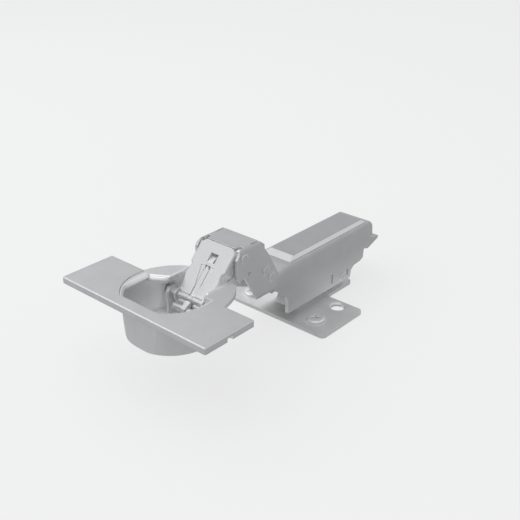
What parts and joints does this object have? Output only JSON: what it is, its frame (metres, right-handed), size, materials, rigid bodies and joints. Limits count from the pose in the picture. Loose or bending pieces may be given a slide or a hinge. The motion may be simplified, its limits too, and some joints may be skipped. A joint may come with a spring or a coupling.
{
  "type": "concealed cup hinge",
  "caption": "Concealed cabinet door hinge with a round door cup, a folding link set, a clip-on arm and a cross-shaped mounting plate, standing open at a right angle.",
  "frame": {"origin": "on the underside of the mounting plate, in the middle of its fixing-hole line", "axes": "+X runs along the arm into the cabinet, so the cup is at -X; +Y runs along the fixing-hole line; +Z points away from the cabinet side, so the plate lies flat and the door stands at a right angle to its closed place"},
  "size_m": [0.1312, 0.0678, 0.0415],
  "materials": {
    "plate_steel": "satin nickel plating on pressed steel",
    "arm_steel": "satin nickel plating on pressed steel",
    "cap_steel": "fine satin nickel plating",
    "screw_steel": "bright zinc plating",
    "link_steel": "satin nickel plating on pressed steel",
    "pin_steel": "bright turned steel",
    "spring_steel": "drawn spring wire",
    "cup_steel": "satin nickel plating on drawn steel",
    "cover_steel": "fine satin nickel plating"
  },
  "bodies": {
    "arm": {"mounting_plate": "plate_steel", "lock_screws": "screw_steel", "arm": "arm_steel", "arm_cap": "cap_steel", "carrier": "plate_steel", "rear_pin": "pin_steel", "release_pin": "pin_steel", "release_spring": "spring_steel", "inner_pin": "pin_steel"},
    "side_screw": {"side_screw": "screw_steel"},
    "depth_cam": {"depth_cam": "screw_steel"},
    "release_lever": {"release_lever": "plate_steel"},
    "top_link": {"top_link": "link_steel", "arm_rivets": "pin_steel", "middle_pin": "pin_steel", "top_pin": "pin_steel"},
    "front_guide_link": {"front_guide_link": "link_steel"},
    "cross_lever": {"cross_lever": "link_steel", "low_pin": "pin_steel", "tail_pin": "pin_steel"},
    "rear_guide_link": {"rear_guide_link": "link_steel"},
    "cup": {"cup": "cup_steel", "cup_bearing": "cup_steel", "front_cup_pins": "pin_steel", "closing_springs": "spring_steel", "flange_cover": "cover_steel"}
  },
  "joints": [
    {"name": "fold", "type": "hinge", "parent": "arm", "child": "top_link", "pos_m": [-0.033, 0, 0.0258], "axis": [0, -1, 0], "range_deg": [-2, 36]},
    {"name": "guide_turn", "type": "hinge", "parent": "top_link", "child": "front_guide_link", "pos_m": [-0.0475, 0, 0.0383], "axis": [0, -1, 0], "range_deg": [-9.36, 0.52]},
    {"name": "cup_turn", "type": "hinge", "parent": "front_guide_link", "child": "cup", "pos_m": [-0.0636, 0, 0.0258], "axis": [0, 1, 0], "range_deg": [-6.48, 116.64]},
    {"name": "cross_turn", "type": "hinge", "parent": "top_link", "child": "cross_lever", "pos_m": [-0.0363, 0, 0.0295], "axis": [0, 1, 0], "range_deg": [-1.02, 18.36]},
    {"name": "rear_turn", "type": "hinge", "parent": "arm", "child": "rear_guide_link", "pos_m": [-0.0186, 0, 0.0132], "axis": [0, 1, 0], "range_deg": [-0.45, 8.1]},
    {"name": "side_adjust", "type": "hinge", "parent": "arm", "child": "side_screw", "pos_m": [-0.006, 0, 0.02], "axis": [0, 0, 1], "range_deg": [-180, 180]},
    {"name": "depth_adjust", "type": "hinge", "parent": "arm", "child": "depth_cam", "pos_m": [0.015, 0, 0.02], "axis": [0, 0, 1], "range_deg": [-60, 60]},
    {"name": "release", "type": "hinge", "parent": "arm", "child": "release_lever", "pos_m": [0.0235, 0, 0.0134], "axis": [0, -1, 0], "range_deg": [0, 12]}
  ],
  "couplings": [
    {"joint": "guide_turn", "follows": "fold", "ratio": -0.26},
    {"joint": "cup_turn", "follows": "fold", "ratio": 3.24},
    {"joint": "cross_turn", "follows": "fold", "ratio": 0.51},
    {"joint": "rear_turn", "follows": "fold", "ratio": 0.225}
  ]
}
